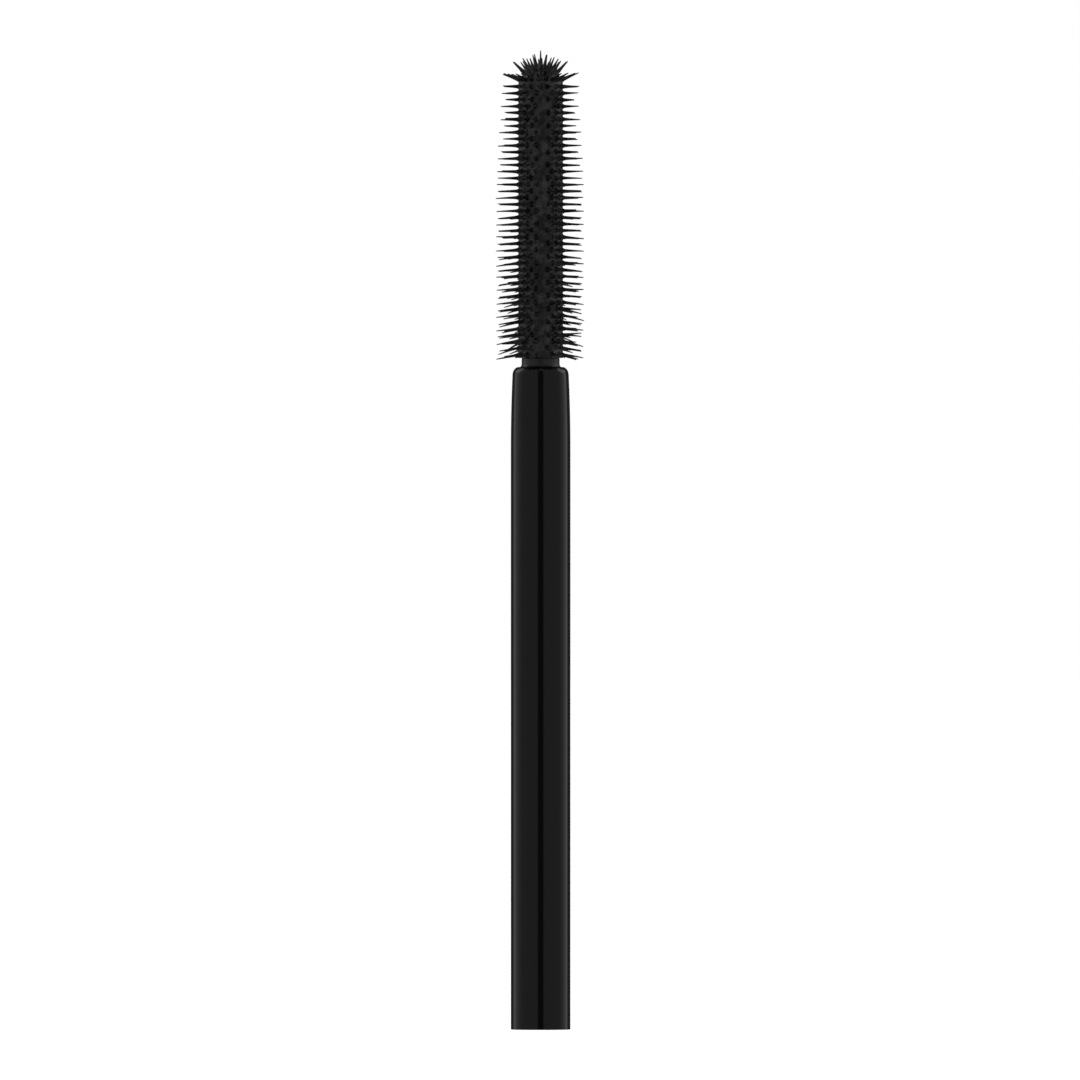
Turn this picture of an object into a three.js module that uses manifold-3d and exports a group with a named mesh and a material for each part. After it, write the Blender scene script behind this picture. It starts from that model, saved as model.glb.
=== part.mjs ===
// A mascara wand: a moulded brush, hard core and soft bristle sleeve, snapped into a hollow stem.
// Millimetres, +Z up. The origin is the centre of the stem's flat lower end, where the cap goes on,
// and the brush points up. Bare strips of the brush face -Y, +X, +Y and -X.
import * as THREE from "three";
import { mergeVertices } from "three/addons/utils/BufferGeometryUtils.js";
import Module from "manifold-3d";

const wasm = await Module();
wasm.setup();

// Stem.
const STEM_LENGTH = 53;
const STEM_RADIUS = 2.385;
const SHOULDER_RADIUS = 2.25; // where the rounded shoulder ends and the long taper begins
const SHOULDER_ACROSS = 0.5;
const SHOULDER_UP = 0.65;
const TAPER_LENGTH = 5.85;
const TAPER_STEPS = 5;
const SHOULDER_STEPS = 6;
const EDGE_BREAK = 0.08;

// Sockets in the stem and the shank that fits the upper one.
const CLEARANCE = 0.03;
const SHANK_RADIUS = 1.15;
const SHANK_LENGTH = 9;
const SEAT_RADIUS = 1.66; // the neck's wider foot, which fills the stem's mouth
const SEAT_DEPTH = 0.5;
const MOUTH_CHAMFER = 0.06;
const BEAD_HEIGHT = 0.15; // snap bead on the shank
const BEAD_ABOVE_END = 1.6;
const BEAD_FLAT = 0.15;
const BEAD_SLOPE = 0.2;
const KEY_COUNT = 4; // keys on the shank that stop the brush from turning
const KEY_HEIGHT = 0.2;
const KEY_WIDTH = 0.4;
const KEY_LENGTH = 2.5;
const CAP_SOCKET_RADIUS = 1.6; // takes the cap's spigot
const CAP_SOCKET_DEPTH = 10;
const CAP_SOCKET_STEP = 0.25;
const CAP_SOCKET_CHAMFER = 0.15;
const CORED_TOP_RADIUS = 1.1; // the drafted bore above the cap's socket
const CORED_TOP_ROUND = 0.2;
const WEB_THICKNESS = 3.2;
const WEB_TOP_GAP = 0.4;
const CRUSH_RIB_COUNT = 3;
const CRUSH_RIB_HEIGHT = 0.12;
const CRUSH_RIB_WIDTH = 0.3;
const CRUSH_RIB_LENGTH = 6;
const CRUSH_RIB_START = 1;

// Brush.
const NECK_LENGTH = 0.72; // what shows between the stem and the bristle sleeve
const NECK_RADIUS = 1.52;
const NECK_FILLET_UP = 0.28; // the hollow curve from the neck out to its foot
const NECK_FILLET_STEPS = 3;
const SLEEVE_RADIUS = 1.78;
const SLEEVE_GAP = 0.02;
const CORE_RADIUS = 1.2;
const CORE_END_BELOW_TOP = 1;
const LOCK_RING_COUNT = 2;
const LOCK_RING_HEIGHT = 0.12;
const LOCK_RING_HALF_LENGTH = 0.3;
const RING_COUNT = 42;
const RING_PITCH = 0.5225;
const FIRST_RING_ABOVE_BASE = 0.28;
const SECTOR_COUNT = 4;
const SECTOR_COLUMNS = 6;
const STRIP_ANGLE = THREE.MathUtils.degToRad(29); // between the columns each side of a bare strip
const DOME_HEIGHT = 1.13;
const DOME_STEPS = 5;

// Bristles.
const TIP_RADIUS = 3.53;
const TOP_TIP_RADIUS = 3.12; // the bristles get shorter towards the dome
const TIP_TAPER_LENGTH = 7.9;
const FULL_LEAN = THREE.MathUtils.degToRad(9); // bristles lean towards the stem, most at the stem
const LEAN_LENGTH = 13;
const FLARE_HEIGHT = 0.42; // how far out of the sleeve the wide root has become a thin bristle
const FLARE_HALF_WIDTH = 0.1;
const DOME_ROOT_RADIUS = 0.2;
const DOME_ROOT_SINK = 0.2;
const DOME_BRISTLE_SIDES = 4;
// Rings of bristles on the dome: how many, the angle of the first, foot and tip as [radius, z].
const DOME_RINGS = [
  { count: 4, turn: 0, foot: [1.72, -1.39], tip: [3.1, -1.34] }, // closes the bare strips' top ends
  { count: 20, turn: 0.5, foot: [1.68, -0.86], tip: [3.04, -0.32] },
  { count: 12, turn: 0.5, foot: [1.3, -0.32], tip: [2.25, 0.62] },
  { count: 8, turn: 0, foot: [0.85, -0.12], tip: [1.42, 0.92] },
  { count: 4, turn: 0.5, foot: [0.42, -0.03], tip: [0.8, 1.16] },
  { count: 1, turn: 0, foot: [0, 0], tip: [0, 1.5] },
];

const TURN_SEGMENTS = 40;
const BLACK_PLASTIC = 0x0c0c0d;
const BLACK_RUBBER = 0x161618;
const GLOSS_ROUGHNESS = 0.15;
const SATIN_ROUGHNESS = 0.3;
const RUBBER_ROUGHNESS = 0.5;

const SLEEVE_BASE_Z = STEM_LENGTH + NECK_LENGTH;
const FIRST_RING_Z = SLEEVE_BASE_Z + FIRST_RING_ABOVE_BASE;
const LAST_RING_Z = FIRST_RING_Z + (RING_COUNT - 1) * RING_PITCH;
const DOME_BASE_Z = LAST_RING_Z + RING_PITCH / 2;
const DOME_TOP_Z = DOME_BASE_Z + DOME_HEIGHT;
const CORE_END_Z = DOME_TOP_Z - CORE_END_BELOW_TOP;
const SEAT_Z = STEM_LENGTH - SEAT_DEPTH;
const SHANK_END_Z = STEM_LENGTH - SHANK_LENGTH;
const BEAD_Z = SHANK_END_Z + BEAD_ABOVE_END;
const WEB_TOP_Z = SHANK_END_Z - WEB_TOP_GAP;
const WEB_BOTTOM_Z = WEB_TOP_Z - WEB_THICKNESS;

// ---------------------------------------------------------------- shared helpers

// Turns an outline of [radius, z] points about Z. The outline starts and ends on the axis.
function turned(outline, segments) {
  const points = outline.map(([radius, z]) => new THREE.Vector2(radius, z));
  return new THREE.LatheGeometry(points, segments).rotateX(Math.PI / 2);
}

// A quarter ellipse about (radius, z), from its outermost point to its highest.
function quarterRound(radius, z, across, up, steps) {
  return Array.from({ length: steps + 1 }, (_, step) => {
    const angle = ((Math.PI / 2) * step) / steps;
    return [radius + across * Math.cos(angle), z + up * Math.sin(angle)];
  });
}

function toSolid(geometry) {
  const bare = geometry.clone();
  bare.deleteAttribute("normal");
  bare.deleteAttribute("uv");
  const merged = mergeVertices(bare, 1e-4);
  const solidMesh = new wasm.Mesh({
    numProp: 3,
    vertProperties: merged.attributes.position.array,
    triVerts: new Uint32Array(merged.index.array),
  });
  return new wasm.Manifold(solidMesh);
}

function toGeometry(solid) {
  const { vertProperties, triVerts } = solid.getMesh();
  const geometry = new THREE.BufferGeometry();
  geometry.setAttribute("position", new THREE.BufferAttribute(vertProperties, 3));
  geometry.setIndex(new THREE.BufferAttribute(triVerts, 1));
  return geometry;
}

function toMesh(name, solid, color, roughness) {
  const material = new THREE.MeshStandardMaterial({ color, roughness, metalness: 0, flatShading: true });
  const made = new THREE.Mesh(toGeometry(solid), material);
  made.name = name;
  return made;
}

// Bars along Z, evenly spaced on a circle, each reaching from radius `inner` to radius `outer`.
function barsAround(count, inner, outer, width, zLow, zHigh) {
  const bars = Array.from({ length: count }, (_, index) => {
    const bar = new THREE.BoxGeometry(outer - inner, width, zHigh - zLow);
    bar.translate((inner + outer) / 2, 0, (zLow + zHigh) / 2);
    bar.rotateZ(((index + 0.5) * 2 * Math.PI) / count);
    return toSolid(bar);
  });
  return wasm.Manifold.union(bars);
}

// The shank's snap bead, or with a larger radius the groove that it clicks into, from the top down.
function beadOutline(radius) {
  const half = BEAD_FLAT / 2;
  return [
    [radius, BEAD_Z + half + BEAD_SLOPE],
    [radius + BEAD_HEIGHT, BEAD_Z + half],
    [radius + BEAD_HEIGHT, BEAD_Z - half],
    [radius, BEAD_Z - half - BEAD_SLOPE],
  ];
}

// The keys on the shank, or with some play the keyways that they slide into.
function keys(play) {
  const inner = SHANK_RADIUS - KEY_HEIGHT;
  const outer = SHANK_RADIUS + KEY_HEIGHT + play;
  const low = SEAT_Z - KEY_LENGTH - play;
  return barsAround(KEY_COUNT, inner, outer, KEY_WIDTH + 2 * play, low, SEAT_Z);
}

// ---------------------------------------------------------------- stem

// The bore that is cored from the cap's end, from its closed top down to the open end.
function capSocketOutline() {
  return [
    [0, WEB_BOTTOM_Z],
    [CORED_TOP_RADIUS - CORED_TOP_ROUND, WEB_BOTTOM_Z],
    [CORED_TOP_RADIUS, WEB_BOTTOM_Z - CORED_TOP_ROUND],
    [CAP_SOCKET_RADIUS - CAP_SOCKET_STEP, CAP_SOCKET_DEPTH],
    [CAP_SOCKET_RADIUS, CAP_SOCKET_DEPTH],
    [CAP_SOCKET_RADIUS, CAP_SOCKET_CHAMFER],
    [CAP_SOCKET_RADIUS + CAP_SOCKET_CHAMFER, 0],
  ];
}

// The outside, from the cap's end up over the shoulder.
function stemOutsideOutline() {
  const shoulderZ = STEM_LENGTH - SHOULDER_UP;
  const taper = Array.from({ length: TAPER_STEPS }, (_, step) => {
    const along = step / TAPER_STEPS;
    const radius = STEM_RADIUS - (STEM_RADIUS - SHOULDER_RADIUS) * along ** 2;
    return [radius, shoulderZ - TAPER_LENGTH * (1 - along)];
  });
  const shoulderCentre = SHOULDER_RADIUS - SHOULDER_ACROSS;
  return [
    [STEM_RADIUS - EDGE_BREAK, 0],
    [STEM_RADIUS, EDGE_BREAK],
    ...taper,
    ...quarterRound(shoulderCentre, shoulderZ, SHOULDER_ACROSS, SHOULDER_UP, SHOULDER_STEPS),
  ];
}

// The brush's socket, from the stem's mouth down to the closed end.
function brushSocketOutline() {
  const mouth = SEAT_RADIUS + CLEARANCE;
  const bore = SHANK_RADIUS + CLEARANCE;
  return [
    [mouth + MOUTH_CHAMFER, STEM_LENGTH],
    [mouth, STEM_LENGTH - MOUTH_CHAMFER],
    [mouth, SEAT_Z],
    [bore, SEAT_Z],
    ...beadOutline(bore),
    [bore, WEB_TOP_Z],
    [0, WEB_TOP_Z],
  ];
}

function stem() {
  const outline = [...capSocketOutline(), ...stemOutsideOutline(), ...brushSocketOutline()];
  const crushRibs = barsAround(
    CRUSH_RIB_COUNT,
    CAP_SOCKET_RADIUS - CRUSH_RIB_HEIGHT,
    CAP_SOCKET_RADIUS + CRUSH_RIB_HEIGHT,
    CRUSH_RIB_WIDTH,
    CRUSH_RIB_START,
    CRUSH_RIB_START + CRUSH_RIB_LENGTH,
  );
  return toSolid(turned(outline, TURN_SEGMENTS)).subtract(keys(CLEARANCE)).add(crushRibs);
}

// ---------------------------------------------------------------- brush core

// Rings on the core that lock the soft sleeve along it, or the grooves they leave in the sleeve.
function lockRingOutline(radius, gap) {
  const spacing = (CORE_END_Z - SLEEVE_BASE_Z) / (LOCK_RING_COUNT + 1);
  return Array.from({ length: LOCK_RING_COUNT }, (_, index) => {
    const middle = SLEEVE_BASE_Z + spacing * (index + 1);
    const half = LOCK_RING_HALF_LENGTH + gap;
    return [
      [radius, middle - half],
      [radius + LOCK_RING_HEIGHT, middle - half + LOCK_RING_HEIGHT],
      [radius + LOCK_RING_HEIGHT, middle + half - LOCK_RING_HEIGHT],
      [radius, middle + half],
    ];
  }).flat();
}

// The hollow curve at the neck's foot, from the stem's mouth up to the straight part of the neck.
function neckFilletOutline() {
  const across = SEAT_RADIUS - NECK_RADIUS;
  return Array.from({ length: NECK_FILLET_STEPS + 1 }, (_, step) => {
    const angle = ((Math.PI / 2) * step) / NECK_FILLET_STEPS;
    return [SEAT_RADIUS - across * Math.sin(angle), STEM_LENGTH + NECK_FILLET_UP * (1 - Math.cos(angle))];
  });
}

function brushCore() {
  const lead = 2 * BEAD_HEIGHT;
  const outline = [
    [0, SHANK_END_Z],
    [SHANK_RADIUS - lead, SHANK_END_Z],
    [SHANK_RADIUS, SHANK_END_Z + lead],
    ...beadOutline(SHANK_RADIUS).reverse(),
    [SHANK_RADIUS, SEAT_Z],
    [SEAT_RADIUS, SEAT_Z],
    ...neckFilletOutline(),
    [NECK_RADIUS, SLEEVE_BASE_Z],
    [CORE_RADIUS, SLEEVE_BASE_Z],
    ...lockRingOutline(CORE_RADIUS, 0),
    [CORE_RADIUS, CORE_END_Z - lead],
    [CORE_RADIUS - lead, CORE_END_Z],
    [0, CORE_END_Z],
  ];
  return toSolid(turned(outline, TURN_SEGMENTS)).add(keys(0));
}

// ---------------------------------------------------------------- bristle sleeve

// Edges of the cells round the sleeve: one cell for each column of bristles, one for each bare strip.
function cellEdgeAngles() {
  const sector = (2 * Math.PI) / SECTOR_COUNT;
  const columnAngle = (sector - STRIP_ANGLE) / (SECTOR_COLUMNS - 1);
  const firstEdge = (STRIP_ANGLE - columnAngle) / 2;
  return Array.from({ length: SECTOR_COUNT }, (_, index) =>
    Array.from({ length: SECTOR_COLUMNS + 1 }, (__, edge) => index * sector + firstEdge + edge * columnAngle),
  ).flat();
}

function hasBristle(column, ring) {
  const inSector = column % (SECTOR_COLUMNS + 1);
  return inSector < SECTOR_COLUMNS && (inSector + ring) % 2 === 1;
}

function pointAt(angle, radius, z) {
  return [radius * Math.cos(angle), radius * Math.sin(angle), z];
}

// Where the bristles of one ring end, as [radius, z].
function tipOfRing(ringZ) {
  const shortening = THREE.MathUtils.smoothstep(ringZ, LAST_RING_Z - TIP_TAPER_LENGTH, LAST_RING_Z);
  const radius = THREE.MathUtils.lerp(TIP_RADIUS, TOP_TIP_RADIUS, shortening);
  const lean = FULL_LEAN * THREE.MathUtils.clamp(1 - (ringZ - FIRST_RING_Z) / LEAN_LENGTH, 0, 1);
  return [radius, ringZ - (radius - SLEEVE_RADIUS) * Math.tan(lean)];
}

// The sleeve's skin and bore as rings of points: bore top, bore, foot, side, dome.
function sleeveRings() {
  const bore = CORE_RADIUS + SLEEVE_GAP;
  const boreDown = [
    [bore, CORE_END_Z + SLEEVE_GAP],
    ...lockRingOutline(bore, SLEEVE_GAP).reverse(),
    [bore, SLEEVE_BASE_Z],
  ];
  const sideUp = Array.from({ length: RING_COUNT + 1 }, (_, ring) => [
    SLEEVE_RADIUS,
    ring === 0 ? SLEEVE_BASE_Z : FIRST_RING_Z + (ring - 0.5) * RING_PITCH,
  ]);
  const dome = quarterRound(0, DOME_BASE_Z, SLEEVE_RADIUS, DOME_HEIGHT, DOME_STEPS).slice(1, -1);
  return { rings: [...boreDown, ...sideUp, ...dome], sideStart: boreDown.length };
}

// One cell of the side drawn out into a bristle: a flared root, then a thin four-sided spike.
function bristleTriangles(corners, angle, ringZ, positions) {
  const [tipRadius, tipZ] = tipOfRing(ringZ);
  const share = FLARE_HEIGHT / (tipRadius - SLEEVE_RADIUS);
  const flareRadius = SLEEVE_RADIUS + FLARE_HEIGHT;
  const flareZ = THREE.MathUtils.lerp(ringZ, tipZ, share);
  const sway = FLARE_HALF_WIDTH / flareRadius;
  const start = positions.length;
  positions.push(
    pointAt(angle - sway, flareRadius, flareZ - FLARE_HALF_WIDTH),
    pointAt(angle + sway, flareRadius, flareZ - FLARE_HALF_WIDTH),
    pointAt(angle + sway, flareRadius, flareZ + FLARE_HALF_WIDTH),
    pointAt(angle - sway, flareRadius, flareZ + FLARE_HALF_WIDTH),
    pointAt(angle, tipRadius, tipZ),
  );
  const tip = start + 4;
  return [0, 1, 2, 3].flatMap((side) => {
    const next = (side + 1) % 4;
    const [low, high] = [start + side, start + next];
    return [corners[side], corners[next], high, corners[side], high, low, low, high, tip];
  });
}

// The sleeve before the dome's bristles go on, as one closed grid of cells.
function sleeveBody() {
  const angles = cellEdgeAngles();
  const around = angles.length;
  const { rings, sideStart } = sleeveRings();
  const positions = rings.flatMap(([radius, z]) => angles.map((angle) => pointAt(angle, radius, z)));
  const triangles = [];
  for (let row = 0; row + 1 < rings.length; row += 1) {
    for (let column = 0; column < around; column += 1) {
      const next = (column + 1) % around;
      const low = row * around;
      const high = low + around;
      const corners = [low + column, low + next, high + next, high + column];
      const ring = row - sideStart;
      if (ring >= 0 && ring < RING_COUNT && hasBristle(column, ring)) {
        const angle = (angles[column] + angles[next]) / 2;
        triangles.push(...bristleTriangles(corners, angle, FIRST_RING_Z + ring * RING_PITCH, positions));
      } else {
        triangles.push(corners[0], corners[1], corners[2], corners[0], corners[2], corners[3]);
      }
    }
  }
  const boreCentre = positions.push([0, 0, rings[0][1]]) - 1;
  const domeCentre = positions.push([0, 0, DOME_TOP_Z]) - 1;
  const lastRing = (rings.length - 1) * around;
  for (let column = 0; column < around; column += 1) {
    const next = (column + 1) % around;
    triangles.push(boreCentre, next, column);
    triangles.push(domeCentre, lastRing + column, lastRing + next);
  }
  const geometry = new THREE.BufferGeometry();
  geometry.setAttribute("position", new THREE.Float32BufferAttribute(positions.flat(), 3));
  geometry.setIndex(triangles);
  return toSolid(geometry);
}

function domeBristle(angle, foot, tip) {
  const from = new THREE.Vector3(...pointAt(angle, foot[0], DOME_TOP_Z + foot[1]));
  const along = new THREE.Vector3(...pointAt(angle, tip[0], DOME_TOP_Z + tip[1])).sub(from);
  const outline = [
    [0, -DOME_ROOT_SINK],
    [DOME_ROOT_RADIUS, -DOME_ROOT_SINK],
    [DOME_ROOT_RADIUS, 0],
    [FLARE_HALF_WIDTH, FLARE_HEIGHT],
    [0, along.length()],
  ];
  const bristle = turned(outline, DOME_BRISTLE_SIDES);
  const upright = new THREE.Vector3(0, 0, 1);
  bristle.applyQuaternion(new THREE.Quaternion().setFromUnitVectors(upright, along.normalize()));
  bristle.translate(from.x, from.y, from.z);
  return toSolid(bristle);
}

function domeBristles() {
  return DOME_RINGS.flatMap(({ count, turn, foot, tip }) =>
    Array.from({ length: count }, (_, index) =>
      domeBristle(((index + turn) * 2 * Math.PI) / count, foot, tip),
    ),
  );
}

function bristleSleeve() {
  return wasm.Manifold.union([sleeveBody(), ...domeBristles()]);
}

// ---------------------------------------------------------------- assembly

const wand = new THREE.Group();
wand.name = "mascara_wand";
wand.add(
  toMesh("stem", stem(), BLACK_PLASTIC, GLOSS_ROUGHNESS),
  toMesh("brush_core", brushCore(), BLACK_PLASTIC, SATIN_ROUGHNESS),
  toMesh("bristle_sleeve", bristleSleeve(), BLACK_RUBBER, RUBBER_ROUGHNESS),
);

export default wand;
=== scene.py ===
"""A mascara wand standing on its cap end: spiky moulded brush, short neck, glossy black stem."""
import math
import random
from collections import namedtuple

import bmesh
import bpy
from mathutils import Matrix, Vector


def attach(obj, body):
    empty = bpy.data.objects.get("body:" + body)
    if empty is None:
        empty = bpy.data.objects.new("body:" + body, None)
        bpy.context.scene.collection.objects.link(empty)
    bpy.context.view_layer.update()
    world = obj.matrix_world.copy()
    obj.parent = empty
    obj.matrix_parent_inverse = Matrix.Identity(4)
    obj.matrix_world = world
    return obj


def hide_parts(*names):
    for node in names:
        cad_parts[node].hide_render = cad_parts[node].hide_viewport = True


MM = 0.001

# Lengths are in millimetres unless they say otherwise. The wand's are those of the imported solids.

# The stem's outside, from the flat end up to the shoulder.
STEM_LENGTH = 53.0
STEM_RADIUS = 2.385
EDGE_ROUND = 0.06
TAPER_LENGTH = 5.85
SHOULDER_RADIUS = 2.25
SHOULDER_ACROSS = 0.5
SHOULDER_UP = 0.65

# The cored socket for the cap, up to the web that shuts it.
CAP_SOCKET_RADIUS = 1.6
CAP_SOCKET_DEPTH = 10.0
CAP_SOCKET_STEP = 0.25
CAP_RIM_ROUND = 0.15
CORED_TOP_RADIUS = 1.1
CORED_TOP_CHAMFER = 0.2
WEB_BOTTOM = 40.4

# A crush rib: its outline as (across, out from the socket's wall) and its rows as (z, how high).
RIB_COUNT = 3
RIB_OUTLINE = [(-0.15, 0.06), (-0.07, -0.12), (0.07, -0.12), (0.15, 0.06)]
RIB_ROWS = [(0.9, 0.0), (1.2, 1.0), (6.6, 1.0), (7.0, 0.0)]
RIB_END_SINK = 0.03

# The seat for the brush in the stem's upper end.
MOUTH_RADIUS = 1.69
MOUTH_ROUND = 0.06
SEAT_DEPTH = 0.5

# The neck, which stands on the seat.
SEAT_RADIUS = 1.66
SEAT_GAP = 0.02
NECK_RADIUS = 1.52
NECK_FILLET_UP = 0.28
NECK_TOP_CHAMFER = 0.05

# The brush's sleeve: rings of cells, each bare or drawn out into a bristle.
SLEEVE_BASE = 53.72
SLEEVE_RADIUS = 1.78
RING_COUNT = 42
RING_PITCH = 0.5225
FIRST_RING = SLEEVE_BASE + 0.28
LAST_RING = FIRST_RING + (RING_COUNT - 1) * RING_PITCH
DOME_BASE = LAST_RING + RING_PITCH / 2
DOME_HEIGHT = 1.13
DOME_TOP = DOME_BASE + DOME_HEIGHT
SECTOR_COUNT = 4
SECTOR_COLUMNS = 6
STRIP_ANGLE = math.radians(29)

# How far the bristles reach from the wand's axis. Towards the dome they get shorter.
TIP_RADIUS = 3.53
TOP_TIP_RADIUS = 3.12
TIP_TAPER_LENGTH = 7.9
LEFT_EXTRA_LENGTH = 0.05

# Near the dome, every second ring is shorter still.
SHORT_RING_DROP = 0.24
SHORT_RINGS_START = 25
SHORT_RINGS_BLEND = 10

# How the bristles lean towards the stem, in full at the first ring and not at all above this length.
FULL_LEAN = math.radians(7.5)
LEFT_EXTRA_LEAN = 0.15
LEAN_LENGTH = 13.0
LOW_CURL = 0.06

# A bristle's flared root, as (height, how round, radius) from the sleeve out, and its shaft.
FLARE_HEIGHT = 0.4
BRISTLE_RADIUS = 0.114
BRISTLE_TIP_RADIUS = 0.04
FLARE_STEPS = [
    (0.03, 0.55, 0.175),
    (0.1, 0.85, 0.16),
    (0.22, 0.97, 0.13),
    (FLARE_HEIGHT, 1.0, BRISTLE_RADIUS),
]
SHAFT_TAPER = 0.85
POINT_HEIGHT = 1.5 * BRISTLE_TIP_RADIUS

# How much the bristles differ. The LOW values are added in full at the first ring.
LENGTH_RANGE = (-0.06, 0.02)
STOUTNESS_RANGE = (0.88, 1.1)
LEAN_SPREAD_DEGREES = 0.6
LOW_LEAN_SPREAD_DEGREES = 3.6
SWAY_SPREAD = math.radians(1.5)
CURL_SPREAD = 0.02
LOW_CURL_SPREAD = 0.05
ROOT_SPREAD_ACROSS = 0.025
ROOT_SPREAD_UP = 0.01
LOW_ROOT_SPREAD_UP = 0.015

# The dome's bristles: (count, turn in pitches, foot, tip), with places as (radius, up from the top).
DOME_RINGS = [
    (4, 0.0, (1.72, -1.39), (3.1, -1.34)),
    (20, 0.5, (1.68, -0.86), (3.04, -0.32)),
    (12, 0.5, (1.3, -0.32), (2.25, 0.62)),
    (8, 0.0, (0.85, -0.12), (1.42, 0.92)),
    (4, 0.5, (0.42, -0.03), (0.8, 1.16)),
    (1, 0.0, (0.0, 0.0), (0.0, 1.49)),
]
DOME_BRISTLE_RADIUS = 0.14
DOME_FOOT_RADIUS = 0.36
DOME_FOOT_DEPTH = 0.2
DOME_FLARE_WIDTH = 0.2
DOME_FLARE_BOTTOM = -0.08
DOME_FLARE_TOP = 0.34
DOME_SHAFT_TAPER = 0.7
DOME_TURN_RANGE = (-0.12, 0.12)
DOME_OUT_RANGE = (-0.09, 0.02)
DOME_RISE_RANGE = (-0.1, 0.04)

# How finely the meshes are divided.
TURN_SEGMENTS = 128
TAPER_STEPS = 24
SHOULDER_STEPS = 16
EDGE_STEPS = 5
NECK_FILLET_STEPS = 10
COLUMN_STEPS = 2
STRIP_STEPS = 4
CELL_SIDE_STEPS = 4
SHAFT_STEPS = 6
DOME_STEPS = 14
DOME_FLARE_STEPS = 5
DOME_BRISTLE_SIDES = 12
FLOOR_SEGMENTS = 96
SHARP_ANGLE = math.radians(40)
WELD_DIGITS = 5

SEED = 42

# The camera, in metres from the wand's foot. Its lens and sensor are in millimetres.
CAMERA_TURN = math.radians(-4.0)
CAMERA_DISTANCE = 2.4
AIM_HEIGHT = 0.03916
AIM_SIDE = -0.00005
CLIP_START = 0.01
LENS = 1000.0
SENSOR = 36.0

# The lights, in metres and watts, and the floor, in millimetres.
LIGHT_DISTANCE = 0.6
LIGHT_AIM_HEIGHT = 0.06
LIGHT_SIZE = 0.4
LIGHT_ELEVATION = 33
LEFT_LIGHT_ANGLE = -120
LEFT_LIGHT_POWER = 0.24
RIGHT_LIGHT_ANGLE = 116
RIGHT_LIGHT_POWER = 0.26
FLOOR_RADIUS = 6000
FLOOR_DROP = 0.05

# Brightness of the tent at angles in degrees from the camera, on its left and right.
LEFT_LEVELS = [
    (9, 0.05), (13, 0.28), (80, 0.28), (97, 0.4), (118, 0.58), (126, 0.75), (132, 0.08), (172, 0.04),
]
RIGHT_LEVELS = [
    (9, 0.05), (13, 0.28), (80, 0.28), (97, 0.4), (118, 0.7), (124, 0.75), (130, 0.07), (172, 0.04),
]

# Brightness of the tent's roof in front and at the rear, and the heights and depths of the blends.
FRONT_DOME_LEVEL = 0.27
REAR_DOME_LEVEL = 0.12
ROOF_BLEND = (0.6, 0.95)
FRONT_BLEND = (-0.2, 0.5)

# The plastics' blotches, which on the brush are painted highlights: their scale beside the surface
# grain's, and where their greys begin and end.
BLOTCH_AND_HIGHLIGHT_SCALE = 0.6
BLOTCH_AND_HIGHLIGHT_START = 0.45
BLOTCH_AND_HIGHLIGHT_END = 0.68
BLUE_TRACE = 1.05

Cell = namedtuple("Cell", "angle half_angle column across_steps")
Bristle = namedtuple("Bristle", "length lean sway curl stoutness shift_across shift_up")


# ---------------------------------------------------------------- helpers

def mesh_object(name, bm):
    """A new object from a bmesh in millimetres, smooth but for its sharp edges."""
    bmesh.ops.recalc_face_normals(bm, faces=bm.faces)
    for edge in bm.edges:
        if len(edge.link_faces) == 2 and edge.calc_face_angle(0.0) > SHARP_ANGLE:
            edge.smooth = False
    for face in bm.faces:
        face.smooth = True
    bmesh.ops.scale(bm, vec=(MM, MM, MM), verts=bm.verts)
    mesh = bpy.data.meshes.new(name)
    bm.to_mesh(mesh)
    bm.free()
    obj = bpy.data.objects.new(name, mesh)
    bpy.context.scene.collection.objects.link(obj)
    return obj


def arc(radius, z, across, up, start, end, steps):
    """Points (radius, z) on an ellipse about (radius, z), from one angle in degrees to another."""
    points = []
    for step in range(steps + 1):
        angle = math.radians(start + (end - start) * step / steps)
        points.append((radius + across * math.cos(angle), z + up * math.sin(angle)))
    return points


def join(bm, low, high):
    """Faces between two rings of points. A ring of one point makes a fan."""
    count = max(len(low), len(high))
    for index in range(count):
        following = (index + 1) % count
        if len(low) == 1:
            corners = (low[0], high[following], high[index])
        elif len(high) == 1:
            corners = (low[index], low[following], high[0])
        else:
            corners = (low[index], low[following], high[following], high[index])
        bm.faces.new(corners)


def turned(outline, segments=TURN_SEGMENTS):
    """A bmesh of an outline of (radius, z) points turned about Z. Radius 0 closes it on the axis."""
    bm = bmesh.new()
    rings = []
    for radius, z in outline:
        if radius == 0:
            rings.append([bm.verts.new((0, 0, z))])
            continue
        ring = []
        for index in range(segments):
            angle = 2 * math.pi * index / segments
            ring.append(bm.verts.new((radius * math.cos(angle), radius * math.sin(angle), z)))
        rings.append(ring)
    for low, high in zip(rings, rings[1:]):
        join(bm, low, high)
    return bm


def smooth_step(value):
    """0 below 0, 1 above 1, and a smooth change between them."""
    value = min(1.0, max(0.0, value))
    return value * value * (3 - 2 * value)


# ---------------------------------------------------------------- stem and neck

def stem_outside():
    """The stem's outline from its flat end up to the top of its shoulder."""
    shoulder_z = STEM_LENGTH - SHOULDER_UP
    end_round = arc(STEM_RADIUS - EDGE_ROUND, EDGE_ROUND, EDGE_ROUND, EDGE_ROUND, -90, 0, EDGE_STEPS)
    taper = []
    for step in range(TAPER_STEPS):
        along = step / TAPER_STEPS
        radius = STEM_RADIUS - (STEM_RADIUS - SHOULDER_RADIUS) * along ** 2
        taper.append((radius, shoulder_z - TAPER_LENGTH * (1 - along)))
    centre = SHOULDER_RADIUS - SHOULDER_ACROSS
    shoulder = arc(centre, shoulder_z, SHOULDER_ACROSS, SHOULDER_UP, 0, 90, SHOULDER_STEPS)
    return end_round + taper + shoulder


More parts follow.
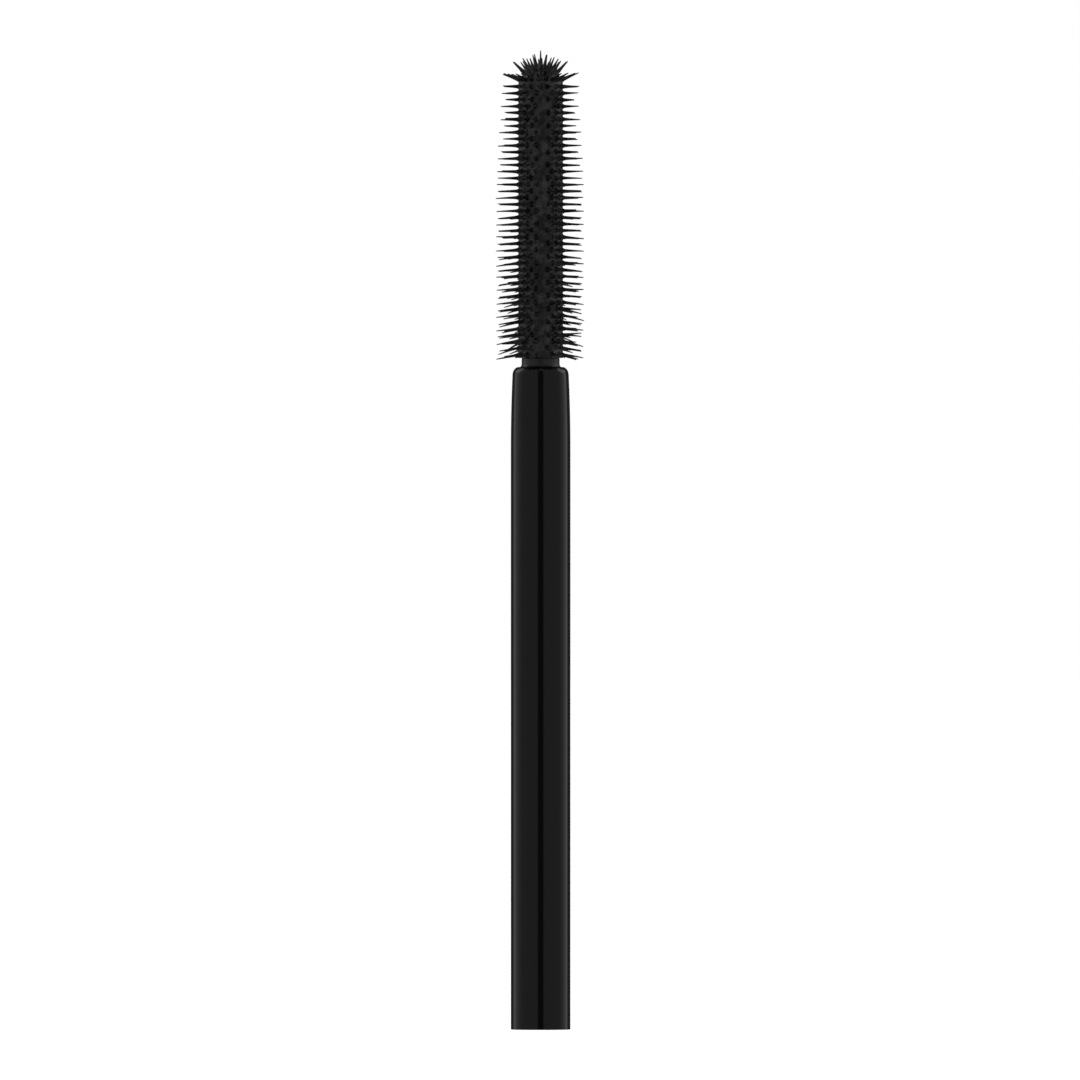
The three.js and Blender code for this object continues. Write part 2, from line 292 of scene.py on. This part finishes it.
def brush_socket():
    """The socket's outline from its mouth down. The shoulder's last point is the mouth's first."""
    centre = MOUTH_RADIUS + MOUTH_ROUND
    mouth = arc(centre, STEM_LENGTH - MOUTH_ROUND, MOUTH_ROUND, MOUTH_ROUND, 90, 180, EDGE_STEPS)
    seat = STEM_LENGTH - SEAT_DEPTH
    return mouth[1:] + [(MOUTH_RADIUS, seat), (0, seat)]


def cap_socket():
    """The cored socket's outline from the web down to its rim."""
    centre = CAP_SOCKET_RADIUS + CAP_RIM_ROUND
    rim = arc(centre, CAP_RIM_ROUND, CAP_RIM_ROUND, CAP_RIM_ROUND, 180, 270, EDGE_STEPS)
    return [
        (0, WEB_BOTTOM),
        (CORED_TOP_RADIUS - CORED_TOP_CHAMFER, WEB_BOTTOM),
        (CORED_TOP_RADIUS, WEB_BOTTOM - CORED_TOP_CHAMFER),
        (CAP_SOCKET_RADIUS - CAP_SOCKET_STEP, CAP_SOCKET_DEPTH),
        (CAP_SOCKET_RADIUS, CAP_SOCKET_DEPTH),
        *rim,
    ]


def crush_rib(angle):
    """A low rounded rib along the cap's socket. Its ends sink into the wall."""
    bm = bmesh.new()
    rings = []
    for z, height in RIB_ROWS:
        ring = []
        for across, out in RIB_OUTLINE:
            reach = out if out > 0 else out * height + RIB_END_SINK * (1 - height)
            spot = Vector((CAP_SOCKET_RADIUS + reach, across, z))
            ring.append(bm.verts.new(Matrix.Rotation(angle, 3, "Z") @ spot))
        rings.append(ring)
    for low, high in zip(rings, rings[1:]):
        join(bm, low, high)
    bm.faces.new(rings[0])
    bm.faces.new(rings[-1])
    return bm


def make_stem(material):
    """The stem with both sockets, and the crush ribs in the cap's socket."""
    stem = mesh_object("wand_stem", turned(cap_socket() + stem_outside() + brush_socket()))
    stem.data.materials.append(material)
    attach(stem, "root")
    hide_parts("stem")
    for index in range(RIB_COUNT):
        rib = mesh_object(f"socket_rib_{index + 1}", crush_rib((index + 0.5) * 2 * math.pi / RIB_COUNT))
        rib.data.materials.append(material)
        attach(rib, "root")


def neck_fillet():
    """The hollow curve from the neck's foot in to the neck."""
    points = []
    for step in range(NECK_FILLET_STEPS + 1):
        turn = math.pi / 2 * step / NECK_FILLET_STEPS
        radius = SEAT_RADIUS - (SEAT_RADIUS - NECK_RADIUS) * math.sin(turn)
        points.append((radius, STEM_LENGTH + NECK_FILLET_UP * (1 - math.cos(turn))))
    return points


def make_neck(material):
    """The short neck between the stem and the brush."""
    seat = STEM_LENGTH - SEAT_DEPTH + SEAT_GAP
    outline = [
        (0, seat),
        (SEAT_RADIUS, seat),
        *neck_fillet(),
        (NECK_RADIUS, SLEEVE_BASE - NECK_TOP_CHAMFER),
        (NECK_RADIUS - NECK_TOP_CHAMFER, SLEEVE_BASE),
        (0, SLEEVE_BASE),
    ]
    neck = mesh_object("brush_neck", turned(outline))
    neck.data.materials.append(material)
    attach(neck, "root")
    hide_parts("brush_core")


# ---------------------------------------------------------------- brush

def sleeve_cells():
    """The cells round the sleeve: each sector's columns and then a bare strip, whose column is None."""
    sector = 2 * math.pi / SECTOR_COUNT
    pitch = (sector - STRIP_ANGLE) / (SECTOR_COLUMNS - 1)
    cells = []
    for index in range(SECTOR_COUNT):
        start = index * sector + STRIP_ANGLE / 2
        for column in range(SECTOR_COLUMNS):
            cells.append(Cell(start + column * pitch, pitch / 2, column, COLUMN_STEPS))
        cells.append(Cell((index + 1) * sector, STRIP_ANGLE / 2 - pitch / 2, None, STRIP_STEPS))
    return cells


def has_bristle(cell, ring):
    """Bristles stand in every second column, staggered from ring to ring."""
    return cell.column is not None and (cell.column + ring) % 2 == 1


def ring_height(ring):
    return FIRST_RING + ring * RING_PITCH


def ring_edges(ring):
    """The heights between which a ring's cells lie. The first ring's go down to the sleeve's foot."""
    ring_z = ring_height(ring)
    low = ring_z - (RING_PITCH / 2 if ring else FIRST_RING - SLEEVE_BASE)
    return low, ring_z + RING_PITCH / 2


def sleeve_point(angle, across, up):
    """A point on the sleeve beside a cell's centre line: across is measured round the sleeve."""
    turn = angle + across / SLEEVE_RADIUS
    return Vector((SLEEVE_RADIUS * math.cos(turn), SLEEVE_RADIUS * math.sin(turn), up))


class Grid:
    """Welds points that several cells of the sleeve share."""

    def __init__(self, bm):
        self.bm = bm
        self.known = {}

    def vert(self, point):
        key = tuple(round(value, WELD_DIGITS) for value in point)
        if key not in self.known:
            self.known[key] = self.bm.verts.new(point)
        return self.known[key]


def tip_reach(ring):
    """How far a ring's bristles reach from the wand's axis."""
    near_top = smooth_step((ring_height(ring) - (LAST_RING - TIP_TAPER_LENGTH)) / TIP_TAPER_LENGTH)
    reach = TIP_RADIUS + (TOP_TIP_RADIUS - TIP_RADIUS) * near_top
    if ring % 2 and ring < RING_COUNT - 1:
        reach -= SHORT_RING_DROP * smooth_step((ring - SHORT_RINGS_START) / SHORT_RINGS_BLEND)
    return reach


def vary_bristle(angle, ring, chance):
    """A bristle's shape, with a little seeded variation that is strongest at the lowest rings."""
    towards_left = -math.cos(angle)
    down = max(0.0, 1 - (ring_height(ring) - FIRST_RING) / LEAN_LENGTH)
    reach = tip_reach(ring) + (chance.uniform(*LENGTH_RANGE) + LEFT_EXTRA_LENGTH * towards_left)
    lean = FULL_LEAN * (1 + LEFT_EXTRA_LEAN * towards_left) * down
    lean += chance.gauss(0, math.radians(LEAN_SPREAD_DEGREES + LOW_LEAN_SPREAD_DEGREES * down))
    sway = chance.gauss(0, SWAY_SPREAD)
    curl = chance.gauss(0, CURL_SPREAD + LOW_CURL_SPREAD * down) + LOW_CURL * down
    stoutness = chance.uniform(*STOUTNESS_RANGE)
    shift_across = chance.gauss(0, ROOT_SPREAD_ACROSS)
    shift_up = chance.gauss(0, ROOT_SPREAD_UP + LOW_ROOT_SPREAD_UP * down)
    return Bristle(reach - SLEEVE_RADIUS, lean, sway, curl, stoutness, shift_across, shift_up)


def centre_line(angle, ring, bristle):
    """A function for the bristle's centre at each height over the sleeve, and its sideways direction."""
    outward = Vector((math.cos(angle), math.sin(angle), 0))
    sideways = Vector((-math.sin(angle), math.cos(angle), 0))
    root_z = Vector((0, 0, ring_height(ring) + bristle.shift_up))
    root = outward * SLEEVE_RADIUS + sideways * bristle.shift_across + root_z

    def centre(height):
        share = height / bristle.length
        drop = math.tan(bristle.lean) * height + bristle.curl * share * share * bristle.length * 0.5
        aside = sideways * math.tan(bristle.sway) * height
        return root + outward * height + aside - Vector((0, 0, drop))

    return centre, sideways


def cell_edge(half_wide, low, high):
    """The points (across, up) round a cell's edge, divided as its neighbours' edges are."""
    edge = [(-half_wide, low), (0, low)]
    for step in range(CELL_SIDE_STEPS):
        edge.append((half_wide, low + (high - low) * step / CELL_SIDE_STEPS))
    edge += [(half_wide, high), (0, high)]
    for step in range(CELL_SIDE_STEPS):
        edge.append((-half_wide, high - (high - low) * step / CELL_SIDE_STEPS))
    return edge


def bristle_sections(bristle):
    """(height, how round, radius) of each section of a bristle, from the sleeve out."""
    stoutness = bristle.stoutness
    thickness = BRISTLE_RADIUS * stoutness
    sections = [(height, roundness, radius * stoutness) for height, roundness, radius in FLARE_STEPS]
    for step in range(1, SHAFT_STEPS + 1):
        share = step / SHAFT_STEPS
        height = FLARE_HEIGHT + (bristle.length - FLARE_HEIGHT) * share
        radius = thickness + (BRISTLE_TIP_RADIUS - thickness) * share ** SHAFT_TAPER
        sections.append((height, 1.0, radius))
    return sections


def add_bristle(grid, cell, ring, chance):
    """One cell of the sleeve drawn out into a bristle with a flared root."""
    bristle = vary_bristle(cell.angle, ring, chance)
    centre, sideways = centre_line(cell.angle, ring, bristle)
    edge = cell_edge(cell.half_angle * SLEEVE_RADIUS, *ring_edges(ring))
    loops = [[grid.vert(sleeve_point(cell.angle, across, up)) for across, up in edge]]
    for height, roundness, radius in bristle_sections(bristle):
        middle = centre(height)
        loop = []
        for across, up in edge:
            flat = Vector((across, up - ring_height(ring)))
            spot = flat.lerp(flat.normalized() * radius, roundness)
            loop.append(grid.bm.verts.new(middle + sideways * spot.x + Vector((0, 0, spot.y))))
        loops.append(loop)
    loops.append([grid.bm.verts.new(centre(bristle.length + POINT_HEIGHT))])
    for inner, outer in zip(loops, loops[1:]):
        join(grid.bm, inner, outer)


def add_plain_cell(grid, cell, ring):
    """A bare cell, with its edges divided as its neighbours' edges are."""
    half_wide = cell.half_angle * SLEEVE_RADIUS
    low, high = ring_edges(ring)
    for column in range(cell.across_steps):
        left = half_wide * (2 * column / cell.across_steps - 1)
        right = half_wide * (2 * (column + 1) / cell.across_steps - 1)
        for row in range(CELL_SIDE_STEPS):
            bottom = low + (high - low) * row / CELL_SIDE_STEPS
            top = low + (high - low) * (row + 1) / CELL_SIDE_STEPS
            corners = [(left, bottom), (right, bottom), (right, top), (left, top)]
            points = [sleeve_point(cell.angle, across, up) for across, up in corners]
            grid.bm.faces.new([grid.vert(point) for point in points])


def edge_turns(cells):
    """The angles at which the cells' top and bottom edges are divided, in order round the sleeve."""
    turns = []
    for cell in cells:
        steps = cell.across_steps
        turns += [cell.angle + cell.half_angle * (2 * step / steps - 1) for step in range(steps)]
    return turns


def close_sleeve(grid, cells):
    """The rounded dome above the last ring and the flat foot below the first."""
    turns = edge_turns(cells)

    def ring_at(radius, z):
        return [grid.vert((radius * math.cos(turn), radius * math.sin(turn), z)) for turn in turns]

    outline = arc(0, DOME_BASE, SLEEVE_RADIUS, DOME_HEIGHT, 0, 90, DOME_STEPS)
    rings = [ring_at(radius, z) for radius, z in outline[:-1]]
    rings.append([grid.bm.verts.new((0, 0, DOME_TOP))])
    for low, high in zip(rings, rings[1:]):
        join(grid.bm, low, high)
    foot = ring_at(SLEEVE_RADIUS, SLEEVE_BASE)
    join(grid.bm, [grid.bm.verts.new((0, 0, SLEEVE_BASE))], foot)


def dome_profile(length):
    """(radius, height) up a dome bristle's side: its sunk foot, its flare and its tapered shaft."""
    profile = [(DOME_FOOT_RADIUS, -DOME_FOOT_DEPTH)]
    for step in range(DOME_FLARE_STEPS + 1):
        bend = math.pi / 2 * step / DOME_FLARE_STEPS
        radius = DOME_BRISTLE_RADIUS + DOME_FLARE_WIDTH * (1 - math.sin(bend))
        rise = (DOME_FLARE_TOP - DOME_FLARE_BOTTOM) * (1 - math.cos(bend))
        profile.append((radius, DOME_FLARE_BOTTOM + rise))
    for step in range(1, SHAFT_STEPS + 1):
        share = step / SHAFT_STEPS
        taper = (BRISTLE_TIP_RADIUS - DOME_BRISTLE_RADIUS) * share ** DOME_SHAFT_TAPER
        radius = DOME_BRISTLE_RADIUS + taper
        profile.append((radius, DOME_FLARE_TOP + (length - DOME_FLARE_TOP) * share))
    return profile


def dome_place(angle, place):
    """The point at an angle round the wand for a (radius, up from the dome's top) place."""
    return Vector((place[0] * math.cos(angle), place[0] * math.sin(angle), DOME_TOP + place[1]))


def add_dome_bristle(bm, angle, foot, tip):
    """A bristle on the dome, with its flared root sunk into the dome."""
    start = dome_place(angle, foot)
    reach = dome_place(angle, tip) - start
    along = reach.normalized()
    turn = Vector((0, 0, 1)).rotation_difference(along).to_matrix()
    rings = []
    for radius, height in dome_profile(reach.length):
        ring = []
        for index in range(DOME_BRISTLE_SIDES):
            phase = 2 * math.pi * index / DOME_BRISTLE_SIDES
            local = Vector((radius * math.cos(phase), radius * math.sin(phase), height))
            ring.append(bm.verts.new(start + turn @ local))
        rings.append(ring)
    bm.faces.new(list(reversed(rings[0])))
    rings.append([bm.verts.new(start + along * (reach.length + BRISTLE_TIP_RADIUS))])
    for low, high in zip(rings, rings[1:]):
        join(bm, low, high)


def add_dome_bristles(bm, chance):
    """The dome's rings of bristles, a little irregular but for the one on the axis."""
    for count, turn, foot, tip in DOME_RINGS:
        for index in range(count):
            angle = (index + turn + chance.uniform(*DOME_TURN_RANGE)) * 2 * math.pi / count
            out = chance.uniform(*DOME_OUT_RANGE) if count > 1 else 0
            rise = chance.uniform(*DOME_RISE_RANGE) if count > 1 else 0
            add_dome_bristle(bm, angle, foot, (tip[0] + out, tip[1] + rise))


def make_brush(material):
    """The soft brush: the sleeve with its bristles drawn out of it, and the dome's bristles."""
    chance = random.Random(SEED)
    cells = sleeve_cells()
    bm = bmesh.new()
    grid = Grid(bm)
    for ring in range(RING_COUNT):
        for cell in cells:
            if has_bristle(cell, ring):
                add_bristle(grid, cell, ring, chance)
            else:
                add_plain_cell(grid, cell, ring)
    close_sleeve(grid, cells)
    add_dome_bristles(bm, chance)
    brush = mesh_object("bristle_brush", bm)
    brush.data.materials.append(material)
    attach(brush, "root")
    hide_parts("bristle_sleeve")


# ---------------------------------------------------------------- materials

def noise(nodes, links, coordinates, scale, detail):
    """A noise texture fixed to the object."""
    texture = nodes.new("ShaderNodeTexNoise")
    texture.inputs["Scale"].default_value = scale
    texture.inputs["Detail"].default_value = detail
    links.new(coordinates.outputs["Object"], texture.inputs["Vector"])
    return texture


def map_range(nodes, from_range=(0, 1), to_range=(0, 1)):
    """A node that maps one range of values to another."""
    node = nodes.new("ShaderNodeMapRange")
    node.inputs["From Min"].default_value = from_range[0]
    node.inputs["From Max"].default_value = from_range[1]
    node.inputs["To Min"].default_value = to_range[0]
    node.inputs["To Max"].default_value = to_range[1]
    return node


def set_stop(stop, position, level):
    """A ramp's stop in a grey with a trace of blue."""
    stop.position = position
    stop.color = (level, level, level * BLUE_TRACE, 1)


def plastic(name, dark, light, ior, roughness, variation, grain, bump_depth):
    """Moulded plastic: soft blotches, slight changes of roughness and a fine surface bump.

    Dark and light are the blotches' greys, and grain is the scale of the fine surface noise. Where light
    is far above dark, as on the brush, the pale blotches are painted highlights.
    """
    material = bpy.data.materials.new(name)
    material.use_nodes = True
    nodes = material.node_tree.nodes
    links = material.node_tree.links
    shader = nodes["Principled BSDF"]
    shader.inputs["IOR"].default_value = ior
    coordinates = nodes.new("ShaderNodeTexCoord")
    surface = noise(nodes, links, coordinates, grain, detail=4)
    # The pale blotches are painted highlights on the brush; on the stem and neck they are a faint random
    # tone.
    blotch_and_highlight_noise = noise(nodes, links, coordinates, grain * BLOTCH_AND_HIGHLIGHT_SCALE, detail=2)
    shades = nodes.new("ShaderNodeValToRGB")
    set_stop(shades.color_ramp.elements[0], BLOTCH_AND_HIGHLIGHT_START, dark)
    set_stop(shades.color_ramp.elements[1], BLOTCH_AND_HIGHLIGHT_END, light)
    links.new(blotch_and_highlight_noise.outputs["Fac"], shades.inputs["Fac"])
    links.new(shades.outputs["Color"], shader.inputs["Base Color"])
    spread = map_range(nodes, to_range=(roughness - variation, roughness + variation))
    links.new(surface.outputs["Fac"], spread.inputs["Value"])
    links.new(spread.outputs["Result"], shader.inputs["Roughness"])
    bump = nodes.new("ShaderNodeBump")
    bump.inputs["Distance"].default_value = bump_depth
    links.new(surface.outputs["Fac"], bump.inputs["Height"])
    links.new(bump.outputs["Normal"], shader.inputs["Normal"])
    return material


def gloss_black():
    """The stem's polished plastic."""
    return plastic(
        "gloss_black_plastic",
        dark=0.0026,
        light=0.0034,
        ior=1.5,
        roughness=0.12,
        variation=0.02,
        grain=900,
        bump_depth=0.0000004,
    )


def satin_black():
    """The neck's plainer plastic."""
    return plastic(
        "satin_black_plastic",
        dark=0.004,
        light=0.008,
        ior=1.75,
        roughness=0.44,
        variation=0.05,
        grain=1500,
        bump_depth=0.000004,
    )


def black_elastomer():
    """The brush's soft plastic, uneven in its gloss, with pale blotches in its colour that are painted
    highlights.
    """
    return plastic(
        "black_elastomer",
        dark=0.001,
        # The pale grey of the blotches is a painted highlight.
        light=0.085,
        ior=1.65,
        roughness=0.36,
        variation=0.2,
        grain=2600,
        bump_depth=0.00008,
    )


def floor_material():
    """Pale and faintly glowing, so that it meets the white backdrop without an edge."""
    material = bpy.data.materials.new("pale_floor")
    material.use_nodes = True
    shader = material.node_tree.nodes["Principled BSDF"]
    shader.inputs["Base Color"].default_value = (0.8, 0.8, 0.8, 1)
    shader.inputs["Roughness"].default_value = 0.6
    shader.inputs["Emission Color"].default_value = (1, 1, 1, 1)
    shader.inputs["Emission Strength"].default_value = 0.95
    return material


# ---------------------------------------------------------------- camera, lights and floor

def turned_spot(angle, distance, height):
    """A place at an angle round the wand from the camera's side, seen from above."""
    turn = CAMERA_TURN + angle
    return Vector((math.sin(turn) * distance, -math.cos(turn) * distance, height))


def make_camera():
    """A long lens level with the middle of the wand."""
    data = bpy.data.cameras.new("camera")
    data.lens = LENS
    data.sensor_width = SENSOR
    data.clip_start = CLIP_START
    camera = bpy.data.objects.new("camera", data)
    side = Vector((math.cos(CAMERA_TURN), math.sin(CAMERA_TURN), 0)) * AIM_SIDE
    camera.location = turned_spot(0, CAMERA_DISTANCE, AIM_HEIGHT) + side
    camera.rotation_euler = (math.pi / 2, 0, CAMERA_TURN)
    bpy.context.scene.collection.objects.link(camera)
    bpy.context.scene.camera = camera


def area_light(name, angle, power):
    """A soft square light that shines at the brush. The angle is in degrees from the camera's side."""
    data = bpy.data.lights.new(name, "AREA")
    data.size = LIGHT_SIZE
    data.energy = power
    light = bpy.data.objects.new(name, data)
    rise = math.radians(LIGHT_ELEVATION)
    across = LIGHT_DISTANCE * math.cos(rise)
    offset = turned_spot(math.radians(angle), across, LIGHT_DISTANCE * math.sin(rise))
    light.location = Vector((0, 0, LIGHT_AIM_HEIGHT)) + offset
    light.rotation_euler = (-offset).to_track_quat("-Z", "Y").to_euler()
    light.visible_camera = False
    bpy.context.scene.collection.objects.link(light)


def make_lights():
    """A light behind each side of the wand, for the bristles' edges."""
    area_light("rim_left", LEFT_LIGHT_ANGLE, LEFT_LIGHT_POWER)
    area_light("rim_right", RIGHT_LIGHT_ANGLE, RIGHT_LIGHT_POWER)


def make_floor(material):
    """A wide round floor that the wand stands on and doesn't reflect."""
    bm = bmesh.new()
    bmesh.ops.create_circle(bm, cap_ends=True, segments=FLOOR_SEGMENTS, radius=FLOOR_RADIUS)
    floor = mesh_object("floor", bm)
    floor.location.z = -FLOOR_DROP * MM
    floor.data.materials.append(material)
    floor.visible_glossy = False
    floor.visible_diffuse = False


# ---------------------------------------------------------------- world

def maths(nodes, operation):
    """A node for one sum."""
    node = nodes.new("ShaderNodeMath")
    node.operation = operation
    return node


def wall_ramp(nodes):
    """The brightness of the tent's wall, from behind the wand round by its left, front and right."""
    ramp = nodes.new("ShaderNodeValToRGB")
    elements = ramp.color_ramp.elements
    stops = [(-angle, level) for angle, level in reversed(LEFT_LEVELS)] + RIGHT_LEVELS
    elements[0].position = 0
    elements[1].position = 1
    ends = [(elements[0], LEFT_LEVELS[-1][1]), (elements[1], RIGHT_LEVELS[-1][1])]
    for element, level in ends:
        element.color = (level, level, level, 1)
    for angle, level in stops:
        element = elements.new((angle + 180) / 360)
        element.color = (level, level, level, 1)
    return ramp


def tent_levels(nodes, links):
    """Brightness of the tent round the wand, by the direction from the camera's side."""
    coordinates = nodes.new("ShaderNodeTexCoord")
    turn = nodes.new("ShaderNodeVectorRotate")
    turn.rotation_type = "Z_AXIS"
    turn.inputs["Angle"].default_value = -CAMERA_TURN
    links.new(coordinates.outputs["Generated"], turn.inputs["Vector"])
    parts = nodes.new("ShaderNodeSeparateXYZ")
    links.new(turn.outputs["Vector"], parts.inputs["Vector"])
    towards = maths(nodes, "MULTIPLY")
    towards.inputs[1].default_value = -1
    links.new(parts.outputs["Y"], towards.inputs[0])

    bearing = maths(nodes, "ARCTAN2")
    links.new(parts.outputs["X"], bearing.inputs[0])
    links.new(towards.outputs["Value"], bearing.inputs[1])
    share = map_range(nodes, from_range=(-math.pi, math.pi))
    links.new(bearing.outputs["Value"], share.inputs["Value"])
    wall = wall_ramp(nodes)
    links.new(share.outputs["Result"], wall.inputs["Fac"])

    roof = map_range(nodes, FRONT_BLEND, (REAR_DOME_LEVEL, FRONT_DOME_LEVEL))
    roof.interpolation_type = "SMOOTHSTEP"
    links.new(towards.outputs["Value"], roof.inputs["Value"])
    fade = map_range(nodes, ROOF_BLEND)
    fade.interpolation_type = "SMOOTHSTEP"
    links.new(parts.outputs["Z"], fade.inputs["Value"])
    blend = nodes.new("ShaderNodeMix")
    blend.data_type = "RGBA"
    links.new(fade.outputs["Result"], blend.inputs["Factor"])
    links.new(wall.outputs["Color"], blend.inputs["A"])
    links.new(roof.outputs["Result"], blend.inputs["B"])
    return blend.outputs["Result"]


def make_world():
    """White behind the wand, and a dimmer tent with a dark gap at the camera for what it reflects."""
    world = bpy.data.worlds.new("studio")
    bpy.context.scene.world = world
    world.use_nodes = True
    nodes = world.node_tree.nodes
    links = world.node_tree.links
    backdrop = nodes["Background"]
    backdrop.inputs["Color"].default_value = (1, 1, 1, 1)
    backdrop.inputs["Strength"].default_value = 1.0
    tent = nodes.new("ShaderNodeBackground")
    links.new(tent_levels(nodes, links), tent.inputs["Color"])
    rays = nodes.new("ShaderNodeLightPath")
    choice = nodes.new("ShaderNodeMixShader")
    links.new(rays.outputs["Is Camera Ray"], choice.inputs[0])
    links.new(tent.outputs["Background"], choice.inputs[1])
    links.new(backdrop.outputs["Background"], choice.inputs[2])
    links.new(choice.outputs["Shader"], nodes["World Output"].inputs["Surface"])
    bpy.context.scene.view_settings.view_transform = "Standard"


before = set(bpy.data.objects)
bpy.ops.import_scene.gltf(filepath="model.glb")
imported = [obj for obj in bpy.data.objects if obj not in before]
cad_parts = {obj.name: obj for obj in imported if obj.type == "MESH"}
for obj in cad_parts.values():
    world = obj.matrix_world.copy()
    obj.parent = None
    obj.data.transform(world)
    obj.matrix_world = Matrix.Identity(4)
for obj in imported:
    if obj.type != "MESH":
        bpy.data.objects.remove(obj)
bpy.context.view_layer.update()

make_stem(gloss_black())
make_neck(satin_black())
make_brush(black_elastomer())
make_camera()
make_lights()
make_floor(floor_material())
make_world()
